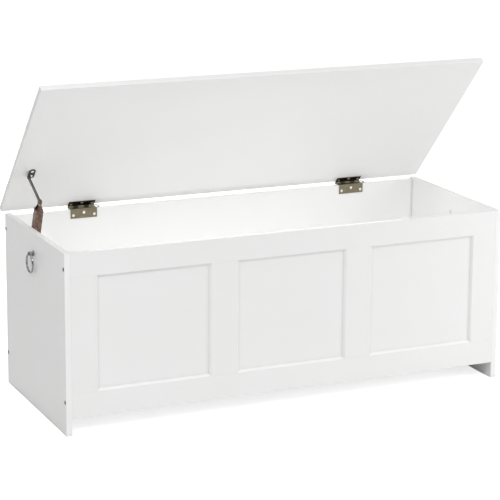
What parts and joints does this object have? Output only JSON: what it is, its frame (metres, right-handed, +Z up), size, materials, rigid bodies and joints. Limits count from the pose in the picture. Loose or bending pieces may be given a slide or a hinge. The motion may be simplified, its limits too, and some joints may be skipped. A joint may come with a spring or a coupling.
{
  "type": "storage bench",
  "caption": "White storage bench: a panelled chest on its side panels, with a hinged seat lid on a folding stay and a ring pull at each end.",
  "frame": {"origin": "on the floor, at the middle of the plan outline with the lid held open", "axes": "+X along the bench to the right, +Y towards its back, +Z up"},
  "size_m": [1.213, 0.4768, 0.8249],
  "materials": {
    "white_board": "satin white laminate",
    "white_front": "satin white lacquer",
    "white_inset": "satin white lacquer",
    "white_lid": "satin white laminate",
    "olive_bronze": "dulled olive bronze plating",
    "dark_bronze": "dark oxidised bronze plating",
    "arm_bronze": "antique grey-olive bronze plating",
    "brown_bronze": "antique brown bronze plating",
    "nickel": "dull nickel plating",
    "chrome": "polished chrome plating",
    "dark_steel": "dark steel",
    "beech": "plain beech"
  },
  "bodies": {
    "chest": {"side_panel_left": "white_board", "side_panel_right": "white_board", "back_panel": "white_board", "bottom_panel": "white_board", "front_top_rail": "white_front", "front_bottom_rail": "white_front", "front_stile_left": "white_front", "front_stile_mid_left": "white_front", "front_stile_mid_right": "white_front", "front_stile_right": "white_front", "front_inset_left": "white_inset", "front_inset_middle": "white_inset", "front_inset_right": "white_inset", "panel_screws_left": "dark_steel", "panel_screws_right": "dark_steel", "bottom_dowels": "beech", "hinge_back_leaf_left": "olive_bronze", "hinge_back_leaf_right": "olive_bronze", "hinge_pin_left": "olive_bronze", "hinge_pin_right": "olive_bronze", "hinge_back_screws_left": "nickel", "hinge_back_screws_right": "nickel", "stay_stud_bracket": "brown_bronze", "stay_stud_screws": "nickel", "stay_stud_washer": "nickel", "ring_post_left": "chrome", "ring_post_right": "chrome", "ring_post_screw_left": "nickel", "ring_post_screw_right": "nickel"},
    "lid": {"lid_board": "white_lid", "hinge_lid_leaf_left": "dark_bronze", "hinge_lid_leaf_right": "dark_bronze", "hinge_lid_screws_left": "nickel", "hinge_lid_screws_right": "nickel", "stay_lid_bracket": "dark_bronze", "stay_lid_screws": "nickel", "stay_lid_rivet": "brown_bronze"},
    "stay_arm": {"stay_arm": "arm_bronze"},
    "stay_channel": {"stay_channel": "brown_bronze", "stay_elbow_rivet": "brown_bronze"},
    "ring_left": {"ring_left": "chrome"},
    "ring_right": {"ring_right": "chrome"}
  },
  "joints": [
    {"name": "lid_hinge", "type": "hinge", "parent": "chest", "child": "lid", "pos_m": [0, 0.22814, 0.446], "axis": [-1, 0, 0], "range_deg": [-46.8, 22]},
    {"name": "stay_arm_pivot", "type": "hinge", "parent": "lid", "child": "stay_arm", "pos_m": [-0.5625, 0.10778, 0.56], "axis": [-1, 0, 0], "range_deg": [-30, 64]},
    {"name": "stay_elbow", "type": "hinge", "parent": "stay_arm", "child": "stay_channel", "pos_m": [-0.5625, 0.02264, 0.516], "axis": [-1, 0, 0], "range_deg": [-71, 33.5]},
    {"name": "ring_left_swing", "type": "hinge", "parent": "chest", "child": "ring_left", "pos_m": [-0.601, -0.00886, 0.3965], "axis": [0, 1, 0], "range_deg": [-8, 180]},
    {"name": "ring_right_swing", "type": "hinge", "parent": "chest", "child": "ring_right", "pos_m": [0.601, -0.00886, 0.3965], "axis": [0, -1, 0], "range_deg": [-8, 180]}
  ],
  "couplings": [
    {"joint": "stay_arm_pivot", "follows": "lid_hinge", "ratio": -1.36},
    {"joint": "stay_elbow", "follows": "lid_hinge", "ratio": 1.51}
  ]
}
